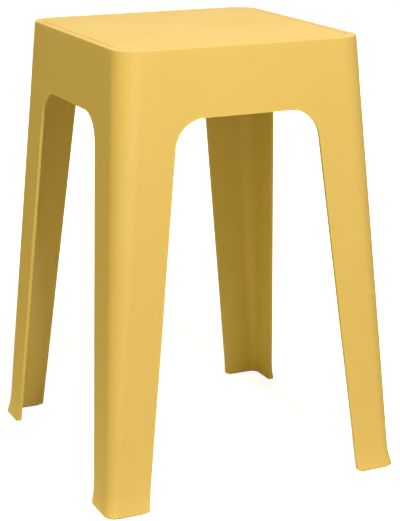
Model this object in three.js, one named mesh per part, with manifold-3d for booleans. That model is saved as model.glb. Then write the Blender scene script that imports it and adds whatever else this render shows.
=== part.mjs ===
// Square stacking stool in moulded plastic: one body with a rim, an apron, four splayed legs of
// L section and stacking fins, a ribbed seat panel that snaps into the rim, and four soft pads
// pressed into the soles. Millimetres, +Z up, origin on the floor under the middle of the seat.
import * as THREE from 'three';
import { mergeVertices } from 'three/addons/utils/BufferGeometryUtils.js';
import Module from 'manifold-3d';

const wasm = await Module();
wasm.setup();

// Body
const seatHeight = 450;
const seatWidth = 260;
const footSpread = 319.8;
const wall = 3;
const cornerRadiusTop = 25.4;
const cornerRadiusFoot = 10.6;
const seatEdgeRadius = 1;

// Arches between the legs
const apronDepth = 66.8;
const legWidthTop = 60.4;
const legWidthFoot = 41.9;
const archCornerRadius = 31;

// Flared feet
const flareOut = 2.6;
const flareHeight = 25;
const soleCornerRadius = 2.2;

// Rim, rebate and ledge that hold the seat panel
const rimWidth = 7;
const rimCornerRadius = 26;
const ledgeWidth = 15;
const ledgeThickness = 2.5;
const openingCornerRadius = 12;

// Stacking fins under the ledge
const stackPitch = 52;
const finThickness = 2.5;
const finOffset = 92;
const finCornerRadius = 4;

// Seat panel
const panelThickness = 2.5;
const jointGap = 1.2;
const jointChamfer = 0.3;
const ribDepth = 14;
const ribThickness = 1.8;
const ribPitch = 36;
const barbWidth = 14;
const barbReach = 1.6;
const barbHeight = 5;
const barbOffset = 51;

// Foot pads
const padHeight = 1;
const padInset = 0.7;
const tongueThickness = 1.4;
const tongueHeight = 4;
const padEndMargin = 2.5;

// Clearances
const fitGap = 0.3;
const restGap = 0.2;

// Shares and counts
const bondShare = 0.5;
const cornerSteps = 12;
const archSteps = 18;
const edgeSteps = 6;
const flareSteps = 8;
const soleSteps = 4;

// Cutters run past what they cut by this much, and vertices closer than this are one
const overrun = 10;
const weld = 0.001;

const quarterTurn = Math.PI / 2;
const sides = [0, 1, 2, 3];
const soleHeight = padHeight + restGap;
const rimInner = seatWidth / 2 - rimWidth;
const rebateFloor = seatHeight - panelThickness - restGap;
const ledgeBottom = rebateFloor - ledgeThickness;
const openingHalf = rimInner - ledgeWidth;
const archTop = seatHeight - apronDepth;

// Half widths and radii at a height

function straightHalf(z) {
  return THREE.MathUtils.lerp(footSpread, seatWidth, z / seatHeight) / 2;
}

function cornerRadius(z) {
  return THREE.MathUtils.lerp(cornerRadiusFoot, cornerRadiusTop, z / seatHeight);
}

function flare(z) {
  const rest = Math.max(0, (flareHeight - z) / flareHeight);
  return flareOut * rest * rest;
}

function outerHalf(z) {
  return straightHalf(z) + flare(z);
}

function innerHalf(z) {
  return straightHalf(z) - wall;
}

function archHalf(z) {
  const atFoot = straightHalf(0) - legWidthFoot;
  const atTop = straightHalf(archTop) - legWidthTop;
  return THREE.MathUtils.lerp(atFoot, atTop, z / archTop);
}

// Lofts of rounded squares

function squareRing(half, radius, z) {
  const upright = new THREE.Vector3(0, 0, 1);
  const ring = [];
  for (const side of sides) {
    const centre = new THREE.Vector3(half - radius, half - radius, z);
    centre.applyAxisAngle(upright, side * quarterTurn);
    for (let step = 0; step <= cornerSteps; step += 1) {
      const spoke = new THREE.Vector3(radius, 0, 0);
      spoke.applyAxisAngle(upright, (side + step / cornerSteps) * quarterTurn);
      ring.push(spoke.add(centre));
    }
  }
  return ring;
}

function loft(rings) {
  const count = rings[0].length;
  const index = [];
  for (let level = 0; level + 1 < rings.length; level += 1) {
    for (let i = 0; i < count; i += 1) {
      const next = (i + 1) % count;
      const low = level * count;
      const high = low + count;
      index.push(low + i, low + next, high + next, low + i, high + next, high + i);
    }
  }
  const top = (rings.length - 1) * count;
  for (let i = 1; i + 1 < count; i += 1) {
    index.push(0, i + 1, i, top, top + i, top + i + 1);
  }
  const geometry = new THREE.BufferGeometry().setFromPoints(rings.flat());
  geometry.setIndex(index);
  return geometry;
}

// Solids

function solidOf(geometry) {
  const bare = geometry.clone();
  bare.deleteAttribute('normal');
  bare.deleteAttribute('uv');
  const welded = mergeVertices(bare, weld);
  return new wasm.Manifold(new wasm.Mesh({
    numProp: 3,
    vertProperties: new Float32Array(welded.attributes.position.array),
    triVerts: new Uint32Array(welded.index.array),
  }));
}

function extrude(outline, depth) {
  const options = { depth, bevelEnabled: false, curveSegments: cornerSteps };
  return new THREE.ExtrudeGeometry(outline, options);
}

function turned(geometry, side) {
  return geometry.clone().rotateZ(side * quarterTurn);
}

// An upright outline of distance out and height, as a slab across the +X side at an offset along Y
function uprightSlab(points, thickness, offset) {
  const slab = extrude(new THREE.Shape(points), thickness);
  slab.rotateX(quarterTurn);
  return slab.translate(0, offset + thickness / 2, 0);
}

// Points of a round corner between three points of an outline
function roundCorner(before, corner, after, radius, steps) {
  const back = before.clone().sub(corner).normalize();
  const ahead = after.clone().sub(corner).normalize();
  const halfAngle = Math.acos(back.dot(ahead)) / 2;
  const start = corner.clone().addScaledVector(back, radius / Math.tan(halfAngle));
  const middle = back.clone().add(ahead).normalize();
  const centre = corner.clone().addScaledVector(middle, radius / Math.sin(halfAngle));
  const sweep = (Math.PI - 2 * halfAngle) * Math.sign(back.cross(ahead)) * -1;
  const points = [];
  for (let step = 0; step <= steps; step += 1) {
    points.push(start.clone().rotateAround(centre, (sweep * step) / steps));
  }
  return points;
}

// Body

function bodyOutside() {
  const rings = [];
  const straightTop = seatHeight - seatEdgeRadius;
  for (let step = 0; step <= flareSteps; step += 1) {
    const z = THREE.MathUtils.lerp(soleHeight, flareHeight, step / flareSteps);
    rings.push(squareRing(outerHalf(z), cornerRadius(z), z));
  }
  for (let step = 0; step <= edgeSteps; step += 1) {
    const angle = (quarterTurn * step) / edgeSteps;
    const z = straightTop + seatEdgeRadius * Math.sin(angle);
    const inset = seatEdgeRadius * (1 - Math.cos(angle));
    rings.push(squareRing(outerHalf(z) - inset, cornerRadius(z) - inset, z));
  }
  return solidOf(loft(rings));
}

function bodyHollow() {
  const heights = [-overrun, ledgeBottom];
  return solidOf(loft(heights.map((z) => squareRing(innerHalf(z), cornerRadius(z) - wall, z))));
}

function panelRebate() {
  const rings = [
    squareRing(rimInner, rimCornerRadius, rebateFloor),
    squareRing(rimInner, rimCornerRadius, seatHeight - jointChamfer),
    squareRing(rimInner + jointChamfer, rimCornerRadius + jointChamfer, seatHeight),
    squareRing(rimInner + jointChamfer, rimCornerRadius + jointChamfer, seatHeight + overrun),
  ];
  return solidOf(loft(rings));
}

function ledgeOpening() {
  const heights = [ledgeBottom - overrun, rebateFloor + panelThickness * bondShare];
  return solidOf(loft(heights.map((z) => squareRing(openingHalf, openingCornerRadius, z))));
}

// One side of an arch from the sole up: its round lower corner, then its round top corner
function archSide() {
  const points = [];
  for (let step = 0; step <= soleSteps; step += 1) {
    const angle = (quarterTurn * step) / soleSteps;
    const z = soleHeight + soleCornerRadius * (1 - Math.cos(angle));
    points.push(new THREE.Vector2(archHalf(z) + soleCornerRadius * (1 - Math.sin(angle)), z));
  }
  const corner = new THREE.Vector2(archHalf(archTop), archTop);
  const middle = new THREE.Vector2(0, archTop);
  points.push(...roundCorner(points.at(-1), corner, middle, archCornerRadius, archSteps));
  return points;
}

function archCutter() {
  const right = archSide();
  const left = right.map((point) => new THREE.Vector2(-point.x, point.y)).reverse();
  const foot = new THREE.Vector2(right[0].x, -overrun);
  const outline = new THREE.Shape([foot, ...right, ...left, new THREE.Vector2(-foot.x, foot.y)]);
  const cutter = extrude(outline, footSpread + 2 * overrun);
  cutter.rotateX(quarterTurn);
  return cutter.translate(0, footSpread / 2 + overrun, 0);
}

function stackingFin(offset) {
  const finTop = ledgeBottom + ledgeThickness * bondShare;
  const finBottom = seatHeight - stackPitch;
  const wallMiddle = (z) => innerHalf(z) + wall * bondShare;
  const innerTop = new THREE.Vector2(openingHalf, finTop);
  const innerBottom = new THREE.Vector2(openingHalf, finBottom);
  const outerBottom = new THREE.Vector2(wallMiddle(finBottom), finBottom);
  const outerTop = new THREE.Vector2(wallMiddle(finTop), finTop);
  const corner = roundCorner(innerTop, innerBottom, outerBottom, finCornerRadius, edgeSteps);
  return uprightSlab([...corner, outerBottom, outerTop, innerTop], finThickness, offset);
}

// An L in the quarter where X and Y are positive, round the corner of a foot
function angleOutline(outer, inner, centre, armEnd) {
  const outline = new THREE.Shape();
  outline.moveTo(inner, armEnd);
  outline.lineTo(outer, armEnd);
  outline.absarc(centre, centre, outer - centre, 0, quarterTurn, false);
  outline.lineTo(armEnd, outer);
  outline.lineTo(armEnd, inner);
  outline.absarc(centre, centre, inner - centre, quarterTurn, 0, true);
  outline.closePath();
  return outline;
}

const footCentre = innerHalf(0) - (cornerRadiusFoot - wall);
const slotTop = soleHeight + tongueHeight + fitGap;
const slotMiddle = (innerHalf(slotTop) + outerHalf(slotTop)) / 2;
const padArmEnd = archHalf(soleHeight) + soleCornerRadius + padEndMargin;

function angleBar(outer, inner, armEnd, low, high) {
  return extrude(angleOutline(outer, inner, footCentre, armEnd), high - low).translate(0, 0, low);
}

function soleSlot() {
  const half = tongueThickness / 2 + fitGap;
  return angleBar(slotMiddle + half, slotMiddle - half, padArmEnd - fitGap, -overrun, slotTop);
}

function makeBody() {
  let body = bodyOutside().subtract(bodyHollow()).subtract(panelRebate()).subtract(ledgeOpening());
  for (const side of sides) {
    body = body.add(solidOf(turned(stackingFin(finOffset), side)));
    body = body.add(solidOf(turned(stackingFin(-finOffset), side)));
    body = body.subtract(solidOf(turned(soleSlot(), side)));
  }
  body = body.subtract(solidOf(turned(archCutter(), 0)));
  return body.subtract(solidOf(turned(archCutter(), 1)));
}

// Seat panel

const panelHalf = rimInner - jointGap;
const panelBottom = seatHeight - panelThickness;
const ribBottom = panelBottom - ribDepth;
const ribTop = panelBottom + panelThickness * bondShare;
const frameHalf = openingHalf - fitGap;

function panelPlate() {
  const radius = rimCornerRadius - jointGap;
  const rings = [
    squareRing(panelHalf, radius, panelBottom),
    squareRing(panelHalf, radius, seatHeight - jointChamfer),
    squareRing(panelHalf - jointChamfer, radius - jointChamfer, seatHeight),
  ];
  return solidOf(loft(rings));
}

function frameBlock(inset, low, high) {
  const radius = openingCornerRadius - fitGap - inset;
  return solidOf(loft([low, high].map((z) => squareRing(frameHalf - inset, radius, z))));
}

function rib(offset) {
  const bar = new THREE.BoxGeometry(2 * frameHalf, ribThickness, ribTop - ribBottom);
  return bar.translate(0, offset, (ribTop + ribBottom) / 2);
}

// A square frame that fits the ledge's opening, filled with ribs both ways
function ribGrid() {
  const block = frameBlock(0, ribBottom, ribTop);
  let ribs = block.subtract(frameBlock(ribThickness, ribBottom - overrun, ribTop + overrun));
  const ribsEachWay = Math.floor((frameHalf - ribThickness) / ribPitch);
  for (let place = -ribsEachWay; place <= ribsEachWay; place += 1) {
    for (const side of [0, 1]) {
      ribs = ribs.add(solidOf(turned(rib(place * ribPitch), side)));
    }
  }
  return ribs.intersect(block);
}

function snapBarb(offset) {
  const shoulder = ledgeBottom - fitGap;
  const root = frameHalf - ribThickness * bondShare;
  const points = [
    new THREE.Vector2(root, shoulder - barbHeight),
    new THREE.Vector2(frameHalf, shoulder - barbHeight),
    new THREE.Vector2(frameHalf + barbReach, shoulder),
    new THREE.Vector2(root, shoulder),
  ];
  return uprightSlab(points, barbWidth, offset);
}

function makePanel() {
  let panel = panelPlate().add(ribGrid());
  for (const side of sides) {
    for (const offset of [-barbOffset, barbOffset]) {
      panel = panel.add(solidOf(turned(snapBarb(offset), side)));
    }
  }
  return panel;
}

// Foot pads

function makePad() {
  const outer = outerHalf(soleHeight) - padInset;
  const inner = innerHalf(soleHeight) + padInset;
  const base = angleBar(outer, inner, padArmEnd, 0, padHeight);
  const half = tongueThickness / 2;
  const root = padHeight * bondShare;
  const tip = soleHeight + tongueHeight;
  const tongue = angleBar(slotMiddle + half, slotMiddle - half, padArmEnd, root, tip);
  return solidOf(base).add(solidOf(tongue));
}

// Named pieces

const moulded = { color: 0xe9b93a, roughness: 0.42, metalness: 0 };
const soft = { color: 0xc99a2c, roughness: 0.8, metalness: 0 };

function piece(name, solid, finish) {
  const { vertProperties, triVerts } = solid.getMesh();
  const geometry = new THREE.BufferGeometry();
  geometry.setAttribute('position', new THREE.BufferAttribute(new Float32Array(vertProperties), 3));
  geometry.setIndex(new THREE.BufferAttribute(new Uint32Array(triVerts), 1));
  geometry.computeVertexNormals();
  const mesh = new THREE.Mesh(geometry, new THREE.MeshStandardMaterial(finish));
  mesh.name = name;
  return mesh;
}

const stool = new THREE.Group();
stool.add(piece('stool_body', makeBody(), moulded));
stool.add(piece('seat_panel', makePanel(), moulded));

const pad = makePad();
const padPlaces = ['back_right', 'back_left', 'front_left', 'front_right'];
padPlaces.forEach((place, side) => {
  const mesh = piece(`foot_pad_${place}`, pad, soft);
  mesh.rotation.z = side * quarterTurn;
  stool.add(mesh);
});

export default stool;
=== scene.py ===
import math

import bmesh
import bpy
from mathutils import Matrix, Vector


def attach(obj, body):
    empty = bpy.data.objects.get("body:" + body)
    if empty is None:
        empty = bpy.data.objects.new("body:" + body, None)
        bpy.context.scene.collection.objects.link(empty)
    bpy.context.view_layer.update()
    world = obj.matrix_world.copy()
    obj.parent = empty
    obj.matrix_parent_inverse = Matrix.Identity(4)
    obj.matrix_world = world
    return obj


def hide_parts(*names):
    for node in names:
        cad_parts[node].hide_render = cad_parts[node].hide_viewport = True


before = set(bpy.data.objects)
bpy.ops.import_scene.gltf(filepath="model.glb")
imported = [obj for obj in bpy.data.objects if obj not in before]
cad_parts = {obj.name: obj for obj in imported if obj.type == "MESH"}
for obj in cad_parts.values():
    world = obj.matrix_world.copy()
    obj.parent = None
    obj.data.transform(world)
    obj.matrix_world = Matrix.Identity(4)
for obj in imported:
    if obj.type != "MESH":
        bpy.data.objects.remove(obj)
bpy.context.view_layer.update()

# The moulding's sizes in metres, the same as the solids have

SEAT_HEIGHT = 0.450
SEAT_WIDTH = 0.260
FOOT_SPREAD = 0.3198
WALL = 0.003
CORNER_RADIUS_TOP = 0.0254
CORNER_RADIUS_FOOT = 0.0106
SEAT_EDGE_RADIUS = 0.001

APRON_DEPTH = 0.0668
LEG_WIDTH_TOP = 0.0604
LEG_WIDTH_FOOT = 0.0419
ARCH_CORNER_RADIUS = 0.031

FLARE_OUT = 0.0026
FLARE_HEIGHT = 0.025
SOLE_CORNER_RADIUS = 0.0022

RIM_WIDTH = 0.007
RIM_CORNER_RADIUS = 0.026
LEDGE_WIDTH = 0.015
LEDGE_THICKNESS = 0.0025
OPENING_CORNER_RADIUS = 0.012

STACK_PITCH = 0.052
FIN_THICKNESS = 0.0025
FIN_OFFSET = 0.092
FIN_CORNER_RADIUS = 0.004

PANEL_THICKNESS = 0.0025
JOINT_GAP = 0.0012
RIB_DEPTH = 0.014
RIB_THICKNESS = 0.0018
RIB_PITCH = 0.036
BARB_WIDTH = 0.014
BARB_REACH = 0.0016
BARB_HEIGHT = 0.005
BARB_OFFSET = 0.051

PAD_HEIGHT = 0.001
PAD_INSET = 0.0007
TONGUE_THICKNESS = 0.0014
TONGUE_HEIGHT = 0.004
PAD_END_MARGIN = 0.0025

FIT_GAP = 0.0003
REST_GAP = 0.0002

# Small forms that only this dressed model has

WALL_EDGE_ROUND = 0.0012
SOLE_ROUND_SHARE = 0.5
LEDGE_FILLET = 0.001
JOINT_ROUND = 0.00025
LIP_DEPTH = 0.0009
LIP_GAP = 0.0001
FIN_ROUND = 0.0004
RIB_ROUND = 0.0003
PAD_ROUND = 0.00025

# Angles from which an edge is rounded or stays sharp

ROUNDED_ANGLE = math.radians(50)
BARB_ROUNDED_ANGLE = math.radians(30)
SHARP_FACE_ANGLE = math.radians(60)

# Heights and half widths that follow from the sizes

SOLE_HEIGHT = PAD_HEIGHT + REST_GAP
RIM_INNER = SEAT_WIDTH / 2 - RIM_WIDTH
REBATE_FLOOR = SEAT_HEIGHT - PANEL_THICKNESS - REST_GAP
LEDGE_BOTTOM = REBATE_FLOOR - LEDGE_THICKNESS
OPENING_HALF = RIM_INNER - LEDGE_WIDTH
ARCH_TOP = SEAT_HEIGHT - APRON_DEPTH

# How finely each form is divided

CORNER_SHARE = 0.7
LEG_COLUMNS = 8
CORNER_COLUMNS = 12
ARCH_RISE_STEPS = 18
ARCH_TOP_STEPS = 12
APRON_COLUMNS = 8
LEG_ROWS = 12
FLARE_ROWS = 10
SOLE_STEPS = 6
EDGE_STEPS = 8
JOINT_STEPS = 4
WELD_REACH = 0.000005
SAME_SHARE = 1e-9
SHARE_DIGITS = 7
LENGTH_DIGITS = 8


def between(a, b, share):
    return a + (b - a) * share


def quarter_round(steps):
    """The cosine and sine of each angle from 0 to 90 degrees."""
    for step in range(steps + 1):
        angle = math.pi / 2 * step / steps
        yield math.cos(angle), math.sin(angle)


def straight_half(z):
    return between(FOOT_SPREAD, SEAT_WIDTH, z / SEAT_HEIGHT) / 2


def corner_radius(z):
    return between(CORNER_RADIUS_FOOT, CORNER_RADIUS_TOP, z / SEAT_HEIGHT)


def flare(z):
    rest = max(0.0, (FLARE_HEIGHT - z) / FLARE_HEIGHT)
    return FLARE_OUT * rest * rest


def skin_half(z, depth):
    """Half width of the moulding at a height: depth 0 is the outer skin and 1 the inner."""
    return straight_half(z) + flare(z) * (1 - depth) - WALL * depth


def flat_half(z, depth):
    """Half the flat of a side, between the corner rounds."""
    return skin_half(z, depth) - (corner_radius(z) - WALL * depth)


def arch_half(z):
    at_foot = straight_half(0) - LEG_WIDTH_FOOT
    at_top = straight_half(ARCH_TOP) - LEG_WIDTH_TOP
    return between(at_foot, at_top, z / ARCH_TOP)


# Trees for Geometry Nodes

def feed(tree, socket, value):
    """Links a socket to another one, or sets it to a plain value."""
    if isinstance(value, bpy.types.NodeSocket):
        tree.links.new(value, socket)
    else:
        socket.default_value = value


def spoken(label):
    """A size's name as its socket shows it: seat_height becomes Seat height."""
    return label.replace("_", " ").capitalize()


class Field:
    """A number that changes over a mesh, written with + - * / and made of Math nodes."""

    def __init__(self, tree, socket):
        self.tree = tree
        self.socket = socket

    def math(self, operation, *others, swapped=False):
        node = self.tree.nodes.new("ShaderNodeMath")
        node.operation = operation
        values = [self, *others]
        if swapped:
            values.reverse()
        for socket, value in zip(node.inputs, values):
            feed(self.tree, socket, value.socket if isinstance(value, Field) else value)
        return Field(self.tree, node.outputs[0])

    def __add__(self, other):
        return self.math("ADD", other)

    def __sub__(self, other):
        return self.math("SUBTRACT", other)

    def __rsub__(self, other):
        return self.math("SUBTRACT", other, swapped=True)

    def __mul__(self, other):
        return self.math("MULTIPLY", other)

    def __truediv__(self, other):
        return self.math("DIVIDE", other)


SOCKETS = {"length": "NodeSocketFloat", "count": "NodeSocketInt"}


class Tree:
    """A geometry tree with named inputs, ending in Realize Instances and Set Material."""

    def __init__(self, name, **inputs):
        self.group = bpy.data.node_groups.new(name, "GeometryNodeTree")
        face = self.group.interface
        face.new_socket("Geometry", in_out="INPUT", socket_type="NodeSocketGeometry")
        for label, kind in inputs.items():
            face.new_socket(spoken(label), in_out="INPUT", socket_type=SOCKETS[kind])
        face.new_socket("Material", in_out="INPUT", socket_type="NodeSocketMaterial")
        face.new_socket("Geometry", in_out="OUTPUT", socket_type="NodeSocketGeometry")
        self.inputs = self.group.nodes.new("NodeGroupInput").outputs

    def size(self, label):
        return Field(self.group, self.inputs[spoken(label)])

    def node(self, kind, **links):
        node = self.group.nodes.new(kind)
        for label, value in links.items():
            socket = node.inputs[label.replace("_", " ")]
            feed(self.group, socket, value.socket if isinstance(value, Field) else value)
        return node

    def named(self, label):
        node = self.node("GeometryNodeInputNamedAttribute", Name=label)
        return Field(self.group, node.outputs[0])

    def vector(self, x=0.0, y=0.0, z=0.0):
        return self.node("ShaderNodeCombineXYZ", X=x, Y=y, Z=z).outputs[0]

    def index(self):
        return Field(self.group, self.node("GeometryNodeInputIndex").outputs[0])

    def quarter_turns(self, geometry):
        """Four copies of a shape, a quarter turn apart, round the stool's upright axis."""
        points = self.node("GeometryNodeMeshLine", Count=4, Offset=(0, 0, 0)).outputs[0]
        turn = self.vector(z=self.index() * (math.pi / 2))
        copies = self.node(
            "GeometryNodeInstanceOnPoints", Points=points, Instance=geometry, Rotation=turn
        )
        return copies.outputs[0]

    def joined(self, *geometries):
        node = self.group.nodes.new("GeometryNodeJoinGeometry")
        for geometry in geometries:
            self.group.links.new(geometry, node.inputs[0])
        return node.outputs[0]

    def end(self, geometry, weld=None):
        """Closes the tree, and first merges points that lie within the weld's reach."""
        geometry = self.node("GeometryNodeRealizeInstances", Geometry=geometry).outputs[0]
        if weld:
            merged = self.node("GeometryNodeMergeByDistance", Geometry=geometry, Distance=weld)
            geometry = merged.outputs[0]
        finish = self.inputs["Material"]
        last = self.node("GeometryNodeSetMaterial", Geometry=geometry, Material=finish)
        out = self.group.nodes.new("NodeGroupOutput")
        self.group.links.new(last.outputs[0], out.inputs[0])


def grown(name, start, tree, finish, **sizes):
    """Runs a tree on a starting mesh and keeps the result as a plain object at the origin."""
    holder = bpy.data.objects.new(name + "_start", start)
    bpy.context.scene.collection.objects.link(holder)
    modifier = holder.modifiers.new("tree", "NODES")
    modifier.node_group = tree.group
    values = {spoken(label): value for label, value in sizes.items()}
    values["Material"] = finish
    for item in tree.group.interface.items_tree:
        if item.in_out == "INPUT" and item.name in values:
            modifier[item.identifier] = values[item.name]
    graph = bpy.context.evaluated_depsgraph_get()
    result = holder.evaluated_get(graph)
    mesh = bpy.data.meshes.new_from_object(
        result, preserve_all_data_layers=True, depsgraph=graph
    )
    bpy.data.objects.remove(holder)
    mesh.name = name
    return placed(name, mesh)


def placed(name, mesh):
    piece = bpy.data.objects.new(name, mesh)
    bpy.context.scene.collection.objects.link(piece)
    return piece


def mesh_of(name, points, faces):
    mesh = bpy.data.meshes.new(name)
    mesh.from_pydata(points, [], faces)
    mesh.update()
    return mesh


def mark(mesh, label, values):
    """Gives each point of a mesh a number, for a tree or a finish to read."""
    layer = mesh.attributes.new(label, "FLOAT", "POINT")
    layer.data.foreach_set("value", [float(value) for value in values])


def mark_for_painted_shade(piece):
    """Marks the whole piece for the inner faces' painted shade tint: it is out of sight from
    outside, as the inner skin is.
    """
    mark(piece.data, "inside", [True] * len(piece.data.vertices))


def rounded(piece, width, segments=3, angle=None):
    """A live bevel, on the weighted edges or on every edge sharper than an angle."""
    bevel = piece.modifiers.new("edge rounds", "BEVEL")
    bevel.width = width
    bevel.segments = segments
    bevel.limit_method = "ANGLE" if angle else "WEIGHT"
    if angle:
        bevel.angle_limit = angle
    bevel.use_clamp_overlap = True
    bevel.harden_normals = True
    piece.data.shade_smooth()


def finished(piece, cad_nodes, finish=None):
    if finish:
        piece.data.materials.clear()
        piece.data.materials.append(finish)
    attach(piece, "root")
    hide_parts(*cad_nodes)


# Finishes

NOISE_LOW, NOISE_HIGH = 0.3, 0.7
GRAIN_SOFTNESS = 0.6
FINE_GRAIN_SCALE, FINE_GRAIN_SHARE = 1.7, 0.8
STREAK_SIZE, STREAK_UPRIGHT_SCALE = 0.06, 0.35
SPECK_SIZE, SPECK_SHARE = 0.0011, 0.12
WEAR_PATCH_SIZE, WEAR_PATCH_BLEND, WEAR_AMOUNT = 0.008, 0.2, 0.4
STREAK_ROUGHNESS, PIT_ROUGHNESS, WEAR_POLISH = 0.03, 0.05, -0.12
MOULDING_IOR, MOULDING_SPECULAR = 1.49, 0.3
# Painted shade: a greener tint multiplied into the inner faces' colour, for the olive look they
# take in shade
INSIDE_PAINTED_SHADE = (0.98, 1.06, 1.0, 1)


def shader_group(name, inputs, outputs):
    group = bpy.data.node_groups.new(name, "ShaderNodeTree")
    for label, kind, value in inputs:
        socket = group.interface.new_socket(label, in_out="INPUT", socket_type=kind)
        if value is not None:
            socket.default_value = value
    for label, kind in outputs:
        group.interface.new_socket(label, in_out="OUTPUT", socket_type=kind)
    return group, group.nodes.new("NodeGroupInput"), group.nodes.new("NodeGroupOutput")


def shader_math(group, operation, *values):
    node = group.nodes.new("ShaderNodeMath")
    node.operation = operation
    for socket, value in zip(node.inputs, values):
        feed(group, socket, value)
    return node.outputs[0]


def noise(group, place, scale, detail=2.0, roughness=0.5):
    node = group.nodes.new("ShaderNodeTexNoise")
    node.inputs["Detail"].default_value = detail
    node.inputs["Roughness"].default_value = roughness
    feed(group, node.inputs["Scale"], scale)
    feed(group, node.inputs["Vector"], place)
    return node.outputs[0]


def spark_grain():
    """The fine pebbled face that a spark-eroded mould leaves: a height in metres."""
    group, into, out = shader_group(
        "spark_grain",
        [
            ("Place", "NodeSocketVector", None),
            ("Grain Size", "NodeSocketFloat", 0.0004),
            ("Grain Height", "NodeSocketFloat", 0.000012),
        ],
        [("Height", "NodeSocketFloat"), ("Pits", "NodeSocketFloat")],
    )
    scale = shader_math(group, "DIVIDE", 1.0, into.outputs["Grain Size"])
    pebbles = group.nodes.new("ShaderNodeTexVoronoi")
    pebbles.feature = "SMOOTH_F1"
    pebbles.inputs["Smoothness"].default_value = GRAIN_SOFTNESS
    group.links.new(scale, pebbles.inputs["Scale"])
    group.links.new(into.outputs["Place"], pebbles.inputs["Vector"])
    fine_scale = shader_math(group, "MULTIPLY", scale, FINE_GRAIN_SCALE)
    fine = noise(group, into.outputs["Place"], fine_scale, detail=3.0)
    mixed = shader_math(
        group, "MULTIPLY_ADD", fine, FINE_GRAIN_SHARE, pebbles.outputs["Distance"]
    )
    height = shader_math(group, "MULTIPLY", mixed, into.outputs["Grain Height"])
    group.links.new(height, out.inputs["Height"])
    group.links.new(mixed, out.inputs["Pits"])
    return group


def melt_flow():
    """Broad soft streaks where the melt filled the mould, and fine specks of pigment."""
    group, into, out = shader_group(
        "melt_flow",
        [
            ("Place", "NodeSocketVector", None),
            ("Streak Size", "NodeSocketFloat", STREAK_SIZE),
            ("Speck Size", "NodeSocketFloat", SPECK_SIZE),
        ],
        [("Streaks", "NodeSocketFloat"), ("Specks", "NodeSocketFloat")],
    )
    stretch = group.nodes.new("ShaderNodeMapping")
    stretch.inputs["Scale"].default_value = (1.0, 1.0, STREAK_UPRIGHT_SCALE)
    group.links.new(into.outputs["Place"], stretch.inputs["Vector"])
    broad = shader_math(group, "DIVIDE", 1.0, into.outputs["Streak Size"])
    tiny = shader_math(group, "DIVIDE", 1.0, into.outputs["Speck Size"])
    streaks = noise(group, stretch.outputs[0], broad, detail=3.0, roughness=0.55)
    specks = noise(group, into.outputs["Place"], tiny, detail=1.0)
    group.links.new(streaks, out.inputs["Streaks"])
    group.links.new(specks, out.inputs["Specks"])
    return group


def edge_wear():
    """Where hands and other stools rub the edges: a broken-up mask from the edge attribute."""
    group, into, out = shader_group(
        "edge_wear",
        [
            ("Place", "NodeSocketVector", None),
            ("Edge", "NodeSocketFloat", 0.0),
            ("Patch Size", "NodeSocketFloat", WEAR_PATCH_SIZE),
            ("Amount", "NodeSocketFloat", WEAR_AMOUNT),
        ],
        [("Mask", "NodeSocketFloat")],
    )
    scale = shader_math(group, "DIVIDE", 1.0, into.outputs["Patch Size"])
    patches = noise(group, into.outputs["Place"], scale, detail=4.0, roughness=0.6)
    broken = shader_math(group, "SMOOTH_MIN", into.outputs["Edge"], patches, WEAR_PATCH_BLEND)
    mask = shader_math(group, "MULTIPLY", broken, into.outputs["Amount"])
    mask.node.use_clamp = True
    group.links.new(mask, out.inputs["Mask"])
    return group


GRAIN = spark_grain()
FLOW = melt_flow()
WEAR = edge_wear()


def use_group(tree, group, **values):
    node = tree.nodes.new("ShaderNodeGroup")
    node.node_tree = group
    for label, value in values.items():
        feed(tree, node.inputs[label.replace("_", " ").title()], value)
    return node


def colour_blend(tree, share, first, second, mode="MIX"):
    node = tree.nodes.new("ShaderNodeMix")
    node.data_type = "RGBA"
    node.blend_type = mode
    for number, value in ((0, share), (6, first), (7, second)):
        feed(tree, node.inputs[number], value)
    return node.outputs[2]


def map_range(tree, value, from_low, from_high, to_low, to_high):
    node = tree.nodes.new("ShaderNodeMapRange")
    labels = ("Value", "From Min", "From Max", "To Min", "To Max")
    for label, given in zip(labels, (value, from_low, from_high, to_low, to_high)):
        feed(tree, node.inputs[label], given)
    return node.outputs["Result"]


def noise_span(tree, value, low, high):
    """The usual range of a noise, spread from low to high."""
    return map_range(tree, value, NOISE_LOW, NOISE_HIGH, low, high)


def attribute(tree, label):
    node = tree.nodes.new("ShaderNodeAttribute")
    node.attribute_name = label
    return node.outputs["Fac"]


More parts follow.
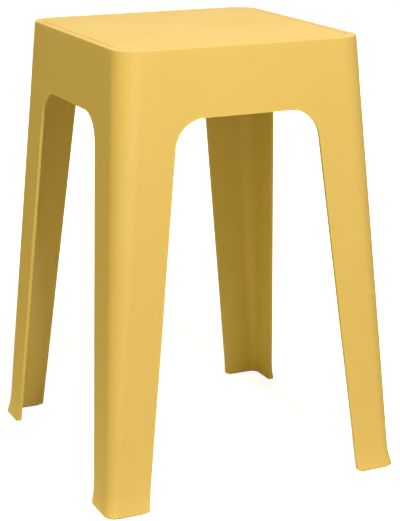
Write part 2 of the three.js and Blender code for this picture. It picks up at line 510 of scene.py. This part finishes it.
def moulded_plastic(name, pale, deep, worn, roughness, grain_size, grain_height):
    """A through-coloured moulding with mould grain, faint melt streaks and rubbed edges, and
    painted shade: a greener tint on the inner faces.
    """
    finish = bpy.data.materials.new(name)
    finish.use_nodes = True
    tree = finish.node_tree
    shader = tree.nodes["Principled BSDF"]
    place = tree.nodes.new("ShaderNodeTexCoord").outputs["Object"]
    grain = use_group(
        tree, GRAIN, place=place, grain_size=grain_size, grain_height=grain_height
    )
    flow = use_group(tree, FLOW, place=place, streak_size=STREAK_SIZE, speck_size=SPECK_SIZE)
    wear = use_group(
        tree,
        WEAR,
        place=place,
        edge=attribute(tree, "edge"),
        patch_size=WEAR_PATCH_SIZE,
        amount=WEAR_AMOUNT,
    )
    streaks = noise_span(tree, flow.outputs["Streaks"], 0.0, 1.0)
    specks = noise_span(tree, flow.outputs["Specks"], 0.0, SPECK_SHARE)
    speckled = colour_blend(tree, specks, colour_blend(tree, streaks, pale, deep), deep)
    rubbed = colour_blend(tree, wear.outputs["Mask"], speckled, worn)
    # Painted shade: the faces marked inside get the greener tint
    inside = attribute(tree, "inside")
    shade_painted = colour_blend(tree, inside, rubbed, INSIDE_PAINTED_SHADE, mode="MULTIPLY")
    tree.links.new(shade_painted, shader.inputs["Base Color"])
    dull = noise_span(
        tree,
        flow.outputs["Streaks"],
        roughness - STREAK_ROUGHNESS,
        roughness + STREAK_ROUGHNESS,
    )
    pitted = shader_math(tree, "MULTIPLY_ADD", grain.outputs["Pits"], PIT_ROUGHNESS, dull)
    polished = shader_math(tree, "MULTIPLY_ADD", wear.outputs["Mask"], WEAR_POLISH, pitted)
    tree.links.new(polished, shader.inputs["Roughness"])
    shader.inputs["IOR"].default_value = MOULDING_IOR
    shader.inputs["Specular IOR Level"].default_value = MOULDING_SPECULAR
    bump = tree.nodes.new("ShaderNodeBump")
    bump.inputs["Distance"].default_value = 1.0
    bump.inputs["Strength"].default_value = 1.0
    tree.links.new(grain.outputs["Height"], bump.inputs["Height"])
    tree.links.new(bump.outputs["Normal"], shader.inputs["Normal"])
    return finish


PLASTIC = moulded_plastic(
    "satin_moulded_plastic",
    pale=(0.752, 0.503, 0.138, 1),
    deep=(0.732, 0.487, 0.132, 1),
    worn=(0.82, 0.57, 0.165, 1),
    roughness=0.5,
    grain_size=0.0005,
    grain_height=0.000012,
)
RUBBER = moulded_plastic(
    "soft_pad_rubber",
    pale=(0.58, 0.33, 0.05, 1),
    deep=(0.5, 0.28, 0.04, 1),
    worn=(0.45, 0.33, 0.14, 1),
    roughness=0.72,
    grain_size=0.0009,
    grain_height=0.00003,
)


# The body's flat pattern, wrapped round the drafted square by a tree

class Pattern:
    """Half of one corner of the moulding, laid out flat and mirrored about the corner."""

    def __init__(self):
        self.places = {}
        self.faces = []
        self.round_edges = {}

    def spot(self, along, z, depth, more_radius=0.0, swapped=0):
        """The number of a spot. Both halves share the spots on the corner's middle line."""
        if along >= 1 - SAME_SHARE:
            swapped = 0
        along, depth = round(along, SHARE_DIGITS), round(depth, SHARE_DIGITS)
        z, more_radius = round(z, LENGTH_DIGITS), round(more_radius, LENGTH_DIGITS)
        key = (along, z, depth, more_radius, swapped)
        return self.places.setdefault(key, len(self.places))

    def sheet(self, rows, flip):
        """Quads between rows of spots. Each is made on both sides of the corner."""
        for swapped in (0, 1):
            numbered = [[self.spot(*spot, swapped=swapped) for spot in row] for row in rows]
            for low, high in zip(numbered, numbered[1:]):
                for i in range(len(low) - 1):
                    face = [low[i], low[i + 1], high[i + 1], high[i]]
                    if flip != bool(swapped):
                        face.reverse()
                    if len(set(face)) == 4:
                        self.faces.append(face)

    def round_off(self, spots, share=1.0):
        """Marks the edges along a line of spots for a share of the small round."""
        for swapped in (0, 1):
            numbered = [self.spot(*spot, swapped=swapped) for spot in spots]
            for pair in zip(numbered, numbered[1:]):
                self.round_edges[frozenset(pair)] = share

    def mesh(self):
        keys = list(self.places)
        mesh = mesh_of("body_pattern", [key[:3] for key in keys], self.faces)
        labels = ("along", "height", "depth", "more_radius", "swapped")
        columns = dict(zip(labels, zip(*keys)))
        for label in labels:
            mark(mesh, label, columns[label])
        places = zip(columns["height"], columns["depth"])
        # Marks the inner skin below the rebate for the painted shade tint
        mark(mesh, "inside", [z < REBATE_FLOOR and depth > 0.5 for z, depth in places])
        weights = mesh.attributes.new("bevel_weight_edge", "FLOAT", "EDGE")
        worn = [0.0] * len(keys)
        for edge in mesh.edges:
            share = self.round_edges.get(frozenset(edge.vertices), 0.0)
            weights.data[edge.index].value = share
            if share:
                for vertex in edge.vertices:
                    worn[vertex] = 1.0
        mark(mesh, "edge", worn)
        return mesh


def on_flat(y, z, depth):
    return (CORNER_SHARE * y / flat_half(z, depth), z, depth)


def at_square(half, radius, along, z):
    """A spot on a square ring that has its own half width and corner radius."""
    depth = (straight_half(z) + flare(z) - half) / (WALL + flare(z))
    return (along, z, depth, radius - (corner_radius(z) - WALL * depth))


def arch_line():
    """The arch's edge from the sole to the middle of the apron, in three runs of (y, z)."""
    leg = []
    for cosine, sine in quarter_round(SOLE_STEPS):
        z = SOLE_HEIGHT + SOLE_CORNER_RADIUS * (1 - cosine)
        leg.append((arch_half(z) + SOLE_CORNER_RADIUS * (1 - sine), z))
    flare_start = SOLE_HEIGHT + SOLE_CORNER_RADIUS
    for step in range(1, FLARE_ROWS + 1):
        z = between(flare_start, FLARE_HEIGHT, step / FLARE_ROWS)
        leg.append((arch_half(z), z))
    corner = Vector((arch_half(ARCH_TOP), ARCH_TOP))
    down = (Vector(leg[-1]) - corner).normalized()
    inward = Vector((-1.0, 0.0))
    half_angle = math.acos(down.dot(inward)) / 2
    start = corner + down * (ARCH_CORNER_RADIUS / math.tan(half_angle))
    centre = corner + (down + inward).normalized() * (ARCH_CORNER_RADIUS / math.sin(half_angle))
    low = leg[-1]
    for step in range(1, LEG_ROWS + 1):
        z = between(low[1], start.y, step / LEG_ROWS)
        leg.append((arch_half(z), z))
    steps = ARCH_RISE_STEPS + ARCH_TOP_STEPS
    spoke = start - centre
    first = math.atan2(spoke.y, spoke.x)
    bend = []
    for step in range(steps + 1):
        angle = between(first, math.pi / 2, step / steps)
        y = centre.x + ARCH_CORNER_RADIUS * math.cos(angle)
        bend.append((y, centre.y + ARCH_CORNER_RADIUS * math.sin(angle)))
    apron = []
    for step in range(APRON_COLUMNS + 1):
        apron.append((bend[-1][0] * (1 - step / APRON_COLUMNS), ARCH_TOP))
    return leg, bend, apron


SLOT_TOP = SOLE_HEIGHT + TONGUE_HEIGHT + FIT_GAP
SLOT_MIDDLE = (skin_half(SLOT_TOP, 1) + skin_half(SLOT_TOP, 0)) / 2
FOOT_CENTRE = skin_half(0, 1) - (CORNER_RADIUS_FOOT - WALL)
PAD_ARM_END = arch_half(SOLE_HEIGHT) + SOLE_CORNER_RADIUS + PAD_END_MARGIN


def skin(pattern, depth, top):
    """One skin of the wall. Returns its top line, its sole line and its arch line."""
    leg, bend, apron = arch_line()
    sole_flat = flat_half(SOLE_HEIGHT, depth)
    first = (PAD_ARM_END - FIT_GAP - leg[0][0]) / (sole_flat - leg[0][0])
    last = LEG_COLUMNS - 1
    shares = [0.0] + [between(first, 1.0, step / last) for step in range(LEG_COLUMNS)]
    columns = range(CORNER_COLUMNS + 1)
    corner = [between(CORNER_SHARE, 1.0, step / CORNER_COLUMNS) for step in columns]
    flip = depth > 0

    leg_rows = []
    for y, z in leg:
        flat = flat_half(z, depth)
        leg_rows.append([on_flat(between(y, flat, share), z, depth) for share in shares])
    pattern.sheet(leg_rows, flip)

    low = leg[-1][1]
    rise = [between(low, top, step / ARCH_RISE_STEPS) for step in range(ARCH_RISE_STEPS + 1)]
    heights = [z for _, z in leg] + rise[1:]
    pattern.sheet([[(along, z, depth) for along in corner] for z in heights], flip)

    rim = [(flat_half(z, depth), z) for z in rise]
    for step in range(1, ARCH_TOP_STEPS + 1):
        rim.append((between(flat_half(top, depth), bend[-1][0], step / ARCH_TOP_STEPS), top))
    fan = []
    for (y0, z0), (y1, z1) in zip(bend, rim):
        row = []
        for share in shares:
            row.append(on_flat(between(y0, y1, share), between(z0, z1, share), depth))
        fan.append(row)
    pattern.sheet(fan, flip)

    apron_rows = []
    for y, z in apron:
        apron_rows.append([on_flat(y, between(z, top, share), depth) for share in shares])
    pattern.sheet(apron_rows, flip)

    top_line = [row[-1] for row in reversed(apron_rows)]
    top_line += [row[-1] for row in reversed(fan[ARCH_RISE_STEPS:-1])]
    top_line += [(along, top, depth) for along in corner[1:]]
    sole_line = leg_rows[0] + [(along, SOLE_HEIGHT, depth) for along in corner[1:]]
    edge_line = [row[0] for row in leg_rows] + [row[0] for row in fan[1:]]
    edge_line += [row[0] for row in apron_rows[1:]]
    return top_line, sole_line, edge_line


def rim_rings(top_line):
    """Rings over the seat's edge, down into the rebate and round the ledge to the wall."""
    alongs = [spot[0] for spot in top_line]
    rings = []

    def ring(half, radius, z):
        rings.append([at_square(half, radius, along, z) for along in alongs])

    start = SEAT_HEIGHT - SEAT_EDGE_RADIUS
    for cosine, sine in list(quarter_round(EDGE_STEPS))[1:]:
        z = start + SEAT_EDGE_RADIUS * sine
        inset = SEAT_EDGE_RADIUS * (1 - cosine)
        ring(straight_half(z) - inset, corner_radius(z) - inset, z)
    for cosine, sine in quarter_round(JOINT_STEPS):
        out = JOINT_ROUND * (1 - sine)
        drop = JOINT_ROUND * (1 - cosine)
        ring(RIM_INNER + out, RIM_CORNER_RADIUS + out, SEAT_HEIGHT - drop)
    ring(RIM_INNER, RIM_CORNER_RADIUS, REBATE_FLOOR)
    ring(OPENING_HALF, OPENING_CORNER_RADIUS, REBATE_FLOOR)
    ring(OPENING_HALF, OPENING_CORNER_RADIUS, LEDGE_BOTTOM)
    for cosine, sine in quarter_round(EDGE_STEPS // 2):
        z = LEDGE_BOTTOM - LEDGE_FILLET * (1 - cosine)
        inset = WALL + LEDGE_FILLET * (1 - sine)
        ring(straight_half(z) - inset, corner_radius(z) - inset, z)
    return rings


def sole_pocket(pattern, outer, inner):
    """The sole between the two skins, with the slot that takes the pad's tongue."""
    alongs = [spot[0] for spot in outer]
    arm_end = PAD_ARM_END - FIT_GAP
    reach = TONGUE_THICKNESS / 2 + FIT_GAP
    lines = []
    for half in (SLOT_MIDDLE + reach, SLOT_MIDDLE - reach):
        radius = half - FOOT_CENTRE
        line = {}
        for z in (SOLE_HEIGHT, SLOT_TOP):
            spots = []
            for number, along in enumerate(alongs):
                if along < CORNER_SHARE:
                    y = between(arm_end, FOOT_CENTRE, (number - 1) / (LEG_COLUMNS - 1))
                    if number == 0:
                        y = arch_half(SOLE_HEIGHT) + SOLE_CORNER_RADIUS
                    along = CORNER_SHARE * y / FOOT_CENTRE
                spots.append(at_square(half, radius, along, z))
            line[z] = spots
        lines.append(line)
    far, near = lines
    pattern.sheet([outer, far[SOLE_HEIGHT]], True)
    pattern.sheet([near[SOLE_HEIGHT], inner], True)
    pattern.sheet([far[SOLE_HEIGHT][:2], near[SOLE_HEIGHT][:2]], True)
    pattern.sheet([far[SOLE_HEIGHT][1:], far[SLOT_TOP][1:]], True)
    pattern.sheet([far[SLOT_TOP][1:], near[SLOT_TOP][1:]], True)
    pattern.sheet([near[SLOT_TOP][1:], near[SOLE_HEIGHT][1:]], True)
    end = [[line[z][1] for line in lines] for z in (SOLE_HEIGHT, SLOT_TOP)]
    pattern.sheet(end, False)


def body_pattern():
    pattern = Pattern()
    outer_top, outer_sole, outer_edge = skin(pattern, 0.0, SEAT_HEIGHT - SEAT_EDGE_RADIUS)
    inner_top, inner_sole, inner_edge = skin(pattern, 1.0, LEDGE_BOTTOM - LEDGE_FILLET)
    rings = [outer_top] + rim_rings(outer_top)
    rings[-1] = inner_top
    pattern.sheet(rings, False)
    pattern.sheet([outer_edge, inner_edge], True)
    sole_pocket(pattern, outer_sole, inner_sole)
    for line in (outer_sole, inner_sole):
        pattern.round_off(line, SOLE_ROUND_SHARE)
    for line in (outer_edge, inner_edge):
        pattern.round_off(line)
    return pattern.mesh()


def wrap_tree():
    """Wraps the flat pattern round a drafted square with round corners and flared feet."""
    lengths = (
        "seat_height", "seat_half_width", "foot_half_width", "corner_radius_top",
        "corner_radius_foot", "wall", "flare_out", "flare_height", "corner_share",
    )
    tree = Tree("drafted_square_wrap", **{label: "length" for label in lengths})
    height = tree.named("height")
    depth = tree.named("depth")
    rise = height / tree.size("seat_height")
    foot, seat = tree.size("foot_half_width"), tree.size("seat_half_width")
    small, large = tree.size("corner_radius_foot"), tree.size("corner_radius_top")
    flare_height = tree.size("flare_height")
    below = ((flare_height - height) / flare_height).math("MAXIMUM", 0.0)
    flare_here = tree.size("flare_out") * below * below
    inset = tree.size("wall") * depth
    half = foot + (seat - foot) * rise + flare_here * (1.0 - depth) - inset
    radius = small + (large - small) * rise - inset + tree.named("more_radius")
    flat = half - radius
    along, corner = tree.named("along"), tree.size("corner_share")
    turn = ((along - corner) / (1.0 - corner)).math("MAXIMUM", 0.0) * (math.pi / 4)
    x = flat + radius * turn.math("COSINE")
    y = flat * (along / corner).math("MINIMUM", 1.0) + radius * turn.math("SINE")
    swapped = tree.named("swapped")
    place = tree.vector(x=x + (y - x) * swapped, y=y + (x - y) * swapped, z=height)
    start = tree.inputs["Geometry"]
    corner_piece = tree.node("GeometryNodeSetPosition", Geometry=start, Position=place)
    tree.end(tree.quarter_turns(corner_piece.outputs[0]), weld=WELD_REACH)
    return tree


def make_body():
    body = grown(
        "stool_body_moulding",
        body_pattern(),
        wrap_tree(),
        PLASTIC,
        seat_height=SEAT_HEIGHT,
        seat_half_width=SEAT_WIDTH / 2,
        foot_half_width=FOOT_SPREAD / 2,
        corner_radius_top=CORNER_RADIUS_TOP,
        corner_radius_foot=CORNER_RADIUS_FOOT,
        wall=WALL,
        flare_out=FLARE_OUT,
        flare_height=FLARE_HEIGHT,
        corner_share=CORNER_SHARE,
    )
    rounded(body, WALL_EDGE_ROUND)
    finished(body, ["stool_body"])


# Stacking fins under the ledge

def fin_outline():
    top = LEDGE_BOTTOM + LEDGE_THICKNESS / 2
    bottom = SEAT_HEIGHT - STACK_PITCH
    points = []
    for cosine, sine in quarter_round(EDGE_STEPS):
        x = OPENING_HALF + FIN_CORNER_RADIUS * (1 - cosine)
        points.append((x, 0.0, bottom + FIN_CORNER_RADIUS * (1 - sine)))
    points.append((skin_half(bottom, 0.5), 0.0, bottom))
    points.append((skin_half(top, 0.5), 0.0, top))
    points.append((OPENING_HALF, 0.0, top))
    return mesh_of("fin_outline", points, [tuple(range(len(points)))])


def fin_tree():
    """Thickens an outline and sets two of the shape on each of the four sides."""
    tree = Tree("stacking_fins", thickness="length", offset="length")
    thickness, offset = tree.size("thickness"), tree.size("offset")
    start = tree.inputs["Geometry"]
    grown_out = tree.node(
        "GeometryNodeExtrudeMesh", Mesh=start, Offset=tree.vector(y=1.0), Offset_Scale=thickness
    )
    closed = tree.node("GeometryNodeFlipFaces", Mesh=start)
    solid = tree.joined(closed.outputs[0], grown_out.outputs[0])
    centred = tree.node(
        "GeometryNodeTransform", Geometry=solid, Translation=tree.vector(y=thickness * -0.5)
    )
    pair = []
    for sign in (1.0, -1.0):
        moved = tree.node(
            "GeometryNodeTransform",
            Geometry=centred.outputs[0],
            Translation=tree.vector(y=offset * sign),
        )
        pair.append(moved.outputs[0])
    tree.end(tree.quarter_turns(tree.joined(*pair)), weld=WELD_REACH)
    return tree


def make_fins():
    fins = grown(
        "stacking_fins",
        fin_outline(),
        fin_tree(),
        PLASTIC,
        thickness=FIN_THICKNESS,
        offset=FIN_OFFSET,
    )
    mark_for_painted_shade(fins)
    rounded(fins, FIN_ROUND, angle=ROUNDED_ANGLE)
    finished(fins, ["stool_body"])


# Seat panel with its ribs and snap barbs

def square_ring(half, radius, z):
    """The points of a square with round corners, anticlockwise from above."""
    steps = CORNER_COLUMNS * 2
    points = []
    for side in range(4):
        turn = Matrix.Rotation(side * math.pi / 2, 3, "Z")
        centre = turn @ Vector((half - radius, half - radius, z))
        for step in range(steps + 1):
            angle = (side + step / steps) * math.pi / 2
            spoke = Vector((radius * math.cos(angle), radius * math.sin(angle), 0))
            points.append(centre + spoke)
    return points


def lofted(name, rings, capped=True):
    """Faces between rings of points, capped at both ends or closed into a frame."""
    count = len(rings[0])
    faces = []
    for level in range(len(rings) - 1):
        for i in range(count):
            following = (i + 1) % count
            low = level * count
            faces.append((low + i, low + following, low + count + following, low + count + i))
    last = (len(rings) - 1) * count
    if capped:
        faces.append(tuple(reversed(range(count))))
        faces.append(tuple(range(last, last + count)))
    else:
        for i in range(count):
            following = (i + 1) % count
            faces.append((last + i, last + following, following, i))
    return mesh_of(name, [tuple(point) for ring in rings for point in ring], faces)


PANEL_HALF = RIM_INNER - JOINT_GAP
PANEL_RADIUS = RIM_CORNER_RADIUS - JOINT_GAP
PANEL_BOTTOM = SEAT_HEIGHT - PANEL_THICKNESS
FRAME_HALF = OPENING_HALF - FIT_GAP
FRAME_RADIUS = OPENING_CORNER_RADIUS - FIT_GAP
RIB_LOW = PANEL_BOTTOM - RIB_DEPTH
RIB_HIGH = PANEL_BOTTOM + PANEL_THICKNESS / 2


def make_panel_plate():
    """The plate, with a thin lip below its top edge that closes the joint to a shallow line."""
    lip_half = RIM_INNER - LIP_GAP
    lip_radius = RIM_CORNER_RADIUS - LIP_GAP
    lip_top = SEAT_HEIGHT - LIP_DEPTH
    rings = [
        square_ring(lip_half, lip_radius, PANEL_BOTTOM),
        square_ring(lip_half, lip_radius, lip_top),
        square_ring(PANEL_HALF, PANEL_RADIUS, lip_top),
    ]
    for cosine, sine in quarter_round(JOINT_STEPS):
        inset = JOINT_ROUND * (1 - cosine)
        z = SEAT_HEIGHT - JOINT_ROUND * (1 - sine)
        rings.append(square_ring(PANEL_HALF - inset, PANEL_RADIUS - inset, z))
    plate = placed("seat_panel_plate", lofted("seat_panel_plate", rings))
    plate.data.shade_smooth()
    plate.data.set_sharp_from_angle(angle=SHARP_FACE_ANGLE)
    plate.modifiers.new("flat faces", "WEIGHTED_NORMAL").keep_sharp = True
    heights = [point.co.z for point in plate.data.vertices]
    # Marks the plate's underside and lip for the painted shade tint
    mark(plate.data, "inside", [z < lip_top - LIP_GAP for z in heights])
    finished(plate, ["seat_panel"], PLASTIC)


def rib_tree():
    """Ribs at one pitch both ways under the plate, inside a frame that fits the opening."""
    tree = Tree(
        "panel_ribs",
        length="length", thickness="length", depth="length", pitch="length",
        middle_height="length", ribs="count",
    )
    pitch, ribs = tree.size("pitch"), tree.size("ribs")
    size = tree.vector(x=tree.size("length"), y=tree.size("thickness"), z=tree.size("depth"))
    bar = tree.node("GeometryNodeMeshCube", Size=size).outputs[0]
    first = (ribs - 1.0) * pitch * -0.5
    line = tree.node(
        "GeometryNodeMeshLine",
        Count=ribs,
        Start_Location=tree.vector(y=first, z=tree.size("middle_height")),
        Offset=tree.vector(y=pitch),
    )
    spread = tree.node("GeometryNodeInstanceOnPoints", Points=line.outputs[0], Instance=bar)
    one_way = spread.outputs[0]
    other_way = tree.node(
        "GeometryNodeTransform", Geometry=one_way, Rotation=(0, 0, math.pi / 2)
    )
    tree.end(tree.joined(tree.inputs["Geometry"], one_way, other_way.outputs[0]))
    return tree


def rib_frame():
    inner = FRAME_HALF - RIB_THICKNESS
    inner_radius = FRAME_RADIUS - RIB_THICKNESS
    rings = [
        square_ring(FRAME_HALF, FRAME_RADIUS, RIB_LOW),
        square_ring(FRAME_HALF, FRAME_RADIUS, RIB_HIGH),
        square_ring(inner, inner_radius, RIB_HIGH),
        square_ring(inner, inner_radius, RIB_LOW),
    ]
    return lofted("rib_frame", rings, capped=False)


def make_ribs():
    each_way = 2 * math.floor((FRAME_HALF - RIB_THICKNESS) / RIB_PITCH) + 1
    ribs = grown(
        "seat_panel_ribs",
        rib_frame(),
        rib_tree(),
        PLASTIC,
        length=2 * FRAME_HALF - RIB_THICKNESS,
        thickness=RIB_THICKNESS,
        depth=RIB_HIGH - RIB_LOW,
        pitch=RIB_PITCH,
        middle_height=(RIB_HIGH + RIB_LOW) / 2,
        ribs=each_way,
    )
    mark_for_painted_shade(ribs)
    rounded(ribs, RIB_ROUND, segments=2, angle=ROUNDED_ANGLE)
    finished(ribs, ["seat_panel"])


def barb_outline():
    shoulder = LEDGE_BOTTOM - FIT_GAP
    root = FRAME_HALF - RIB_THICKNESS / 2
    points = [
        (root, 0.0, shoulder - BARB_HEIGHT),
        (root, 0.0, shoulder),
        (FRAME_HALF + BARB_REACH, 0.0, shoulder),
        (FRAME_HALF, 0.0, shoulder - BARB_HEIGHT),
    ]
    return mesh_of("barb_outline", points, [(3, 2, 1, 0)])


def make_barbs():
    barbs = grown(
        "seat_panel_barbs",
        barb_outline(),
        fin_tree(),
        PLASTIC,
        thickness=BARB_WIDTH,
        offset=BARB_OFFSET,
    )
    mark_for_painted_shade(barbs)
    rounded(barbs, RIB_ROUND, segments=2, angle=BARB_ROUNDED_ANGLE)
    finished(barbs, ["seat_panel"])


# Foot pads

def angle_bar(mesh, outer, inner, low, high, turn):
    """An L of constant section round a foot's corner."""
    lines = []
    for half in (outer, inner):
        radius = half - FOOT_CENTRE
        line = [(half, PAD_ARM_END)]
        for cosine, sine in quarter_round(CORNER_COLUMNS * 2):
            line.append((FOOT_CENTRE + radius * cosine, FOOT_CENTRE + radius * sine))
        line.append((PAD_ARM_END, half))
        lines.append(line)
    loops = []
    for z in (low, high):
        for line in lines:
            loops.append([mesh.verts.new(turn @ Vector((x, y, z))) for x, y in line])
    far_low, near_low, far_high, near_high = loops
    for i in range(len(far_low) - 1):
        mesh.faces.new((far_low[i], far_low[i + 1], far_high[i + 1], far_high[i]))
        mesh.faces.new((near_low[i + 1], near_low[i], near_high[i], near_high[i + 1]))
        mesh.faces.new((far_high[i], far_high[i + 1], near_high[i + 1], near_high[i]))
        mesh.faces.new((far_low[i + 1], far_low[i], near_low[i], near_low[i + 1]))
    mesh.faces.new((far_low[0], far_high[0], near_high[0], near_low[0]))
    mesh.faces.new((near_low[-1], near_high[-1], far_high[-1], far_low[-1]))


def make_pads():
    outer = skin_half(SOLE_HEIGHT, 0) - PAD_INSET
    inner = skin_half(SOLE_HEIGHT, 1) + PAD_INSET
    tongue_outer = SLOT_MIDDLE + TONGUE_THICKNESS / 2
    tongue_inner = SLOT_MIDDLE - TONGUE_THICKNESS / 2
    tongue_top = SOLE_HEIGHT + TONGUE_HEIGHT
    for side, corner in enumerate(("back_right", "back_left", "front_left", "front_right")):
        turn = Matrix.Rotation(side * math.pi / 2, 3, "Z")
        work = bmesh.new()
        angle_bar(work, outer, inner, 0.0, PAD_HEIGHT, turn)
        angle_bar(work, tongue_outer, tongue_inner, PAD_HEIGHT / 2, tongue_top, turn)
        mesh = bpy.data.meshes.new(corner + "_pad")
        work.to_mesh(mesh)
        work.free()
        pad = placed(corner + "_pad", mesh)
        rounded(pad, PAD_ROUND, segments=2, angle=ROUNDED_ANGLE)
        finished(pad, ["foot_pad_" + corner], RUBBER)


# Floor, light and camera

WHITE = (1, 1, 1, 1)

FLOOR_REACH = 6
FLOOR_ROUGHNESS = 0.9
FLOOR_REFLECTED = 0.05
FLOOR_CHANGE_START = 0.2
PAPER_CHANGE_END = 0.45
GLOW_CHANGE_END = 0.9

LAMP_AIM = Vector((0, 0, 0.25))

# The viewpoint in degrees and metres, and the lens in pixels of the photograph
VIEW_AZIMUTH, VIEW_ELEVATION, VIEW_ROLL = -24.279, 15.486, -0.111
AIM_YAW, AIM_PITCH = 0.326, -0.782
VIEW_DISTANCE = 1.662513
FOCAL_PIXELS = 1565.646
PHOTO_HEIGHT_PIXELS = 521
SENSOR_WIDTH = 36.0


def toward(azimuth, elevation):
    """The unit vector to a place seen from the stool. Azimuth 0 is straight in front."""
    level = math.cos(elevation)
    return Vector((math.sin(azimuth) * level, -math.cos(azimuth) * level, math.sin(elevation)))


def is_seen(tree, reflected=1.0):
    """1 for the camera, a share of it for gloss and clear surfaces, 0 for light on things."""
    path = tree.nodes.new("ShaderNodeLightPath")
    either = shader_math(
        tree, "MAXIMUM", path.outputs["Is Glossy Ray"], path.outputs["Is Transmission Ray"]
    )
    dimmed = shader_math(tree, "MULTIPLY", either, reflected)
    return shader_math(tree, "MAXIMUM", path.outputs["Is Camera Ray"], dimmed)


def away_from_stool(tree, start, stop):
    """0 up to one distance from the stool's middle and 1 from another, with a soft change."""
    place = tree.nodes.new("ShaderNodeTexCoord").outputs["Object"]
    distance = tree.nodes.new("ShaderNodeVectorMath")
    distance.operation = "LENGTH"
    tree.links.new(place, distance.inputs[0])
    change = map_range(tree, distance.outputs["Value"], start, stop, 0.0, 1.0)
    change.node.interpolation_type = "SMOOTHSTEP"
    return change


def make_world(colour, left, right):
    """Light that fades from the left to the right, and plain white where it is seen."""
    world = bpy.data.worlds.new("studio")
    bpy.context.scene.world = world
    world.use_nodes = True
    tree = world.node_tree
    background = tree.nodes["Background"]
    seen = is_seen(tree)
    direction = tree.nodes.new("ShaderNodeSeparateXYZ")
    way = tree.nodes.new("ShaderNodeTexCoord").outputs["Generated"]
    tree.links.new(way, direction.inputs[0])
    around = map_range(tree, direction.outputs["X"], -1.0, 1.0, left, right)
    level = tree.nodes.new("ShaderNodeMix")
    for number, value in ((0, seen), (2, around), (3, 1.0)):
        feed(tree, level.inputs[number], value)
    tree.links.new(level.outputs[0], background.inputs["Strength"])
    tree.links.new(colour_blend(tree, seen, colour, WHITE), background.inputs["Color"])


def make_floor(near_colour, far_colour, near_glow, far_glow):
    """A pale floor that reads white to the camera and keeps the stool's soft shadow near it."""
    signs = ((-1, -1), (1, -1), (1, 1), (-1, 1))
    points = [(x * FLOOR_REACH, y * FLOOR_REACH, 0) for x, y in signs]
    mesh = mesh_of("floor", points, [(0, 1, 2, 3)])
    floor = placed("floor", mesh)
    finish = bpy.data.materials.new("pale_floor")
    finish.use_nodes = True
    tree = finish.node_tree
    shader = tree.nodes["Principled BSDF"]
    shader.inputs["Roughness"].default_value = FLOOR_ROUGHNESS
    shader.inputs["Specular IOR Level"].default_value = 0.0
    for label, stop, near, far in (
        ("Base Color", PAPER_CHANGE_END, near_colour, far_colour),
        ("Emission Color", GLOW_CHANGE_END, near_glow, far_glow),
    ):
        share = away_from_stool(tree, FLOOR_CHANGE_START, stop)
        tree.links.new(colour_blend(tree, share, near, far), shader.inputs[label])
    tree.links.new(is_seen(tree, FLOOR_REFLECTED), shader.inputs["Emission Strength"])
    mesh.materials.append(finish)


def soft_light(
    name, azimuth, elevation, distance, width, height, watts, diffuse=True, gloss=True
):
    """A flat lamp aimed at the stool's middle. It can be left out of soft light or of gloss."""
    lamp = bpy.data.lights.new(name, "AREA")
    lamp.shape = "RECTANGLE"
    lamp.size = width
    lamp.size_y = height
    lamp.energy = watts
    light = bpy.data.objects.new(name, lamp)
    away = toward(math.radians(azimuth), math.radians(elevation))
    light.location = LAMP_AIM + away * distance
    light.rotation_mode = "QUATERNION"
    light.rotation_quaternion = (-away).to_track_quat("-Z", "Y")
    light.visible_diffuse = diffuse
    light.visible_glossy = gloss
    bpy.context.scene.collection.objects.link(light)


def make_camera():
    """The photograph's viewpoint, worked out from the stool's own edges."""
    roll, yaw, pitch = (math.radians(angle) for angle in (VIEW_ROLL, AIM_YAW, AIM_PITCH))
    away = toward(math.radians(VIEW_AZIMUTH), math.radians(VIEW_ELEVATION))
    ahead = -away
    right = ahead.cross(Vector((0, 0, 1))).normalized()
    up = right.cross(ahead)
    ahead = ahead * math.cos(yaw) + right * math.sin(yaw)
    right = ahead.cross(up).normalized()
    ahead = ahead * math.cos(pitch) + up * math.sin(pitch)
    up = right.cross(ahead)
    level_right = right * math.cos(roll) + up * math.sin(roll)
    level_up = up * math.cos(roll) - right * math.sin(roll)
    data = bpy.data.cameras.new("camera")
    data.sensor_width = SENSOR_WIDTH
    data.lens = FOCAL_PIXELS / PHOTO_HEIGHT_PIXELS * SENSOR_WIDTH
    data.clip_start = 0.05
    data.clip_end = 30.0
    camera = bpy.data.objects.new("camera", data)
    turn = Matrix((level_right, level_up, -ahead)).transposed()
    place = Vector((0, 0, SEAT_HEIGHT / 2)) + away * VIEW_DISTANCE
    camera.matrix_world = Matrix.LocRotScale(place, turn.to_quaternion(), None)
    bpy.context.scene.collection.objects.link(camera)
    bpy.context.scene.camera = camera


make_body()
make_fins()
make_panel_plate()
make_ribs()
make_barbs()
make_pads()

make_world(colour=(1, 0.95, 0.16, 1), left=0.555, right=0.0)
make_floor(
    near_colour=(0.82, 0.8, 0.7, 1),
    far_colour=(0.55, 0.53, 0.36, 1),
    near_glow=(0.73, 0.74, 0.83, 1),
    far_glow=WHITE,
)
soft_light("key", azimuth=-4, elevation=51.5, distance=2.4, width=0.36, height=0.9, watts=49)
soft_light("top_fill", azimuth=-25, elevation=65, distance=1.9, width=0.4, height=0.4, watts=3)
soft_light("fill", azimuth=-70, elevation=50, distance=1.8, width=0.8, height=0.8, watts=2.5)
soft_light(
    "back_fill",
    azimuth=150, elevation=15, distance=2.4, width=1.4, height=1.2, watts=24, gloss=False,
)
soft_light(
    "gleam",
    azimuth=-16, elevation=5, distance=1.9, width=0.3, height=1.0, watts=12, diffuse=False,
)
make_camera()
bpy.context.scene.view_settings.view_transform = "Standard"
